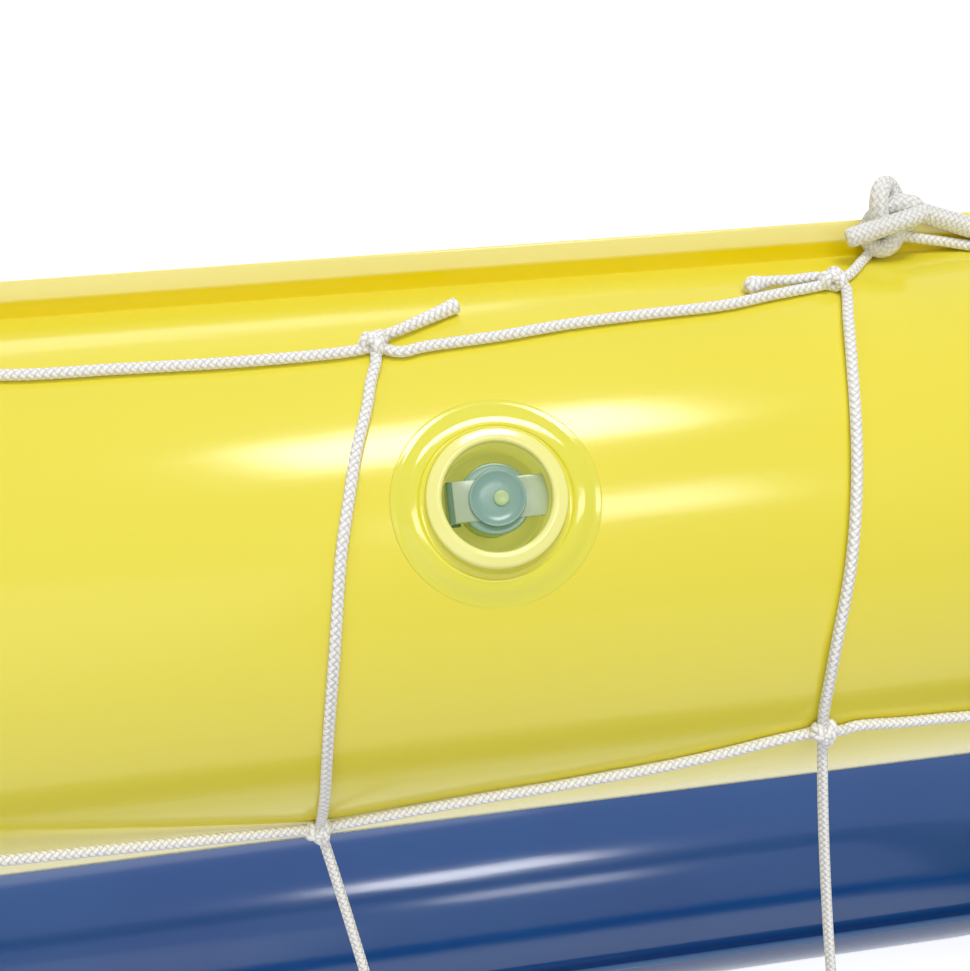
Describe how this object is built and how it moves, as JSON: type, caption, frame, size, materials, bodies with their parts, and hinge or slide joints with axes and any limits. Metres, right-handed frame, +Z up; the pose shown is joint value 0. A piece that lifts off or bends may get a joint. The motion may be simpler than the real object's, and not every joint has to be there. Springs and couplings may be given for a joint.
{
  "type": "water polo goal",
  "caption": "Inflatable pool goal: a ring float carries a tubular arch with a knotted cord net tied behind it, and each air chamber has a stopper valve.",
  "frame": {"origin": "on the floor or water line under the centre of the ring float", "axes": "+X along the crossbar, +Y towards the net behind the goal, +Z up"},
  "size_m": [1.4134, 0.8967, 0.67],
  "materials": {
    "yellow_vinyl": "soft calendered vinyl film, blown tight, gently glossy",
    "blue_vinyl": "soft calendered vinyl film, blown tight, gently glossy",
    "clear_vinyl": "clear film welded over the chamber round the valve",
    "valve_pvc": "soft moulded translucent vinyl",
    "white_cord": "braided white cord"
  },
  "bodies": {
    "goal": {"float_chamber": "blue_vinyl", "arch_chamber": "yellow_vinyl", "post_collar_left": "yellow_vinyl", "post_collar_right": "yellow_vinyl", "arch_valve_skirt": "clear_vinyl", "float_valve_skirt": "clear_vinyl", "net_back": "white_cord", "net_side_left": "white_cord", "net_side_right": "white_cord", "crossbar_tie_left_1": "white_cord", "crossbar_tie_left_2": "white_cord", "post_tie_left_1": "white_cord", "post_tie_left_2": "white_cord", "post_tie_left_3": "white_cord", "float_tie_left_1": "white_cord", "float_tie_left_2": "white_cord", "float_tie_left_3": "white_cord", "float_tie_left_4": "white_cord", "crossbar_tie_right_1": "white_cord", "crossbar_tie_right_2": "white_cord", "post_tie_right_1": "white_cord", "post_tie_right_2": "white_cord", "post_tie_right_3": "white_cord", "float_tie_right_1": "white_cord", "float_tie_right_2": "white_cord", "float_tie_right_3": "white_cord", "float_tie_right_4": "white_cord", "edge_rope_left": "white_cord", "edge_rope_right": "white_cord"},
    "arch_stem": {"arch_valve_stem": "valve_pvc", "arch_valve_strap": "valve_pvc"},
    "arch_plug": {"arch_valve_plug": "valve_pvc"},
    "arch_flap": {"arch_valve_flap": "valve_pvc"},
    "float_stem": {"float_valve_stem": "valve_pvc", "float_valve_strap": "valve_pvc"},
    "float_plug": {"float_valve_plug": "valve_pvc"},
    "float_flap": {"float_valve_flap": "valve_pvc"}
  },
  "joints": [
    {"name": "arch_valve_slide", "type": "slide", "parent": "goal", "child": "arch_stem", "axis": [0, 0.8028, 0.5962], "range_m": [0, 0.011]},
    {"name": "arch_plug_hinge", "type": "hinge", "parent": "arch_stem", "child": "arch_plug", "pos_m": [-0.0638, 0.05098, 0.62486], "axis": [0, 0.5962, -0.8028], "range_deg": [0, 94], "deforming": ["arch_valve_strap"]},
    {"name": "arch_flap_hinge", "type": "hinge", "parent": "arch_stem", "child": "arch_flap", "pos_m": [-0.0674, 0.03548, 0.61335], "axis": [0, -0.5962, 0.8028], "range_deg": [0, 45]},
    {"name": "float_valve_slide", "type": "slide", "parent": "goal", "child": "float_stem", "axis": [0, 0, 1], "range_m": [0, 0.011]},
    {"name": "float_plug_hinge", "type": "hinge", "parent": "float_stem", "child": "float_plug", "pos_m": [0.617, -0.1618, 0.1485], "axis": [-1, 0, 0], "range_deg": [0, 94], "deforming": ["float_valve_strap"]},
    {"name": "float_flap_hinge", "type": "hinge", "parent": "float_stem", "child": "float_flap", "pos_m": [0.617, -0.1654, 0.1292], "axis": [1, 0, 0], "range_deg": [0, 45]}
  ]
}
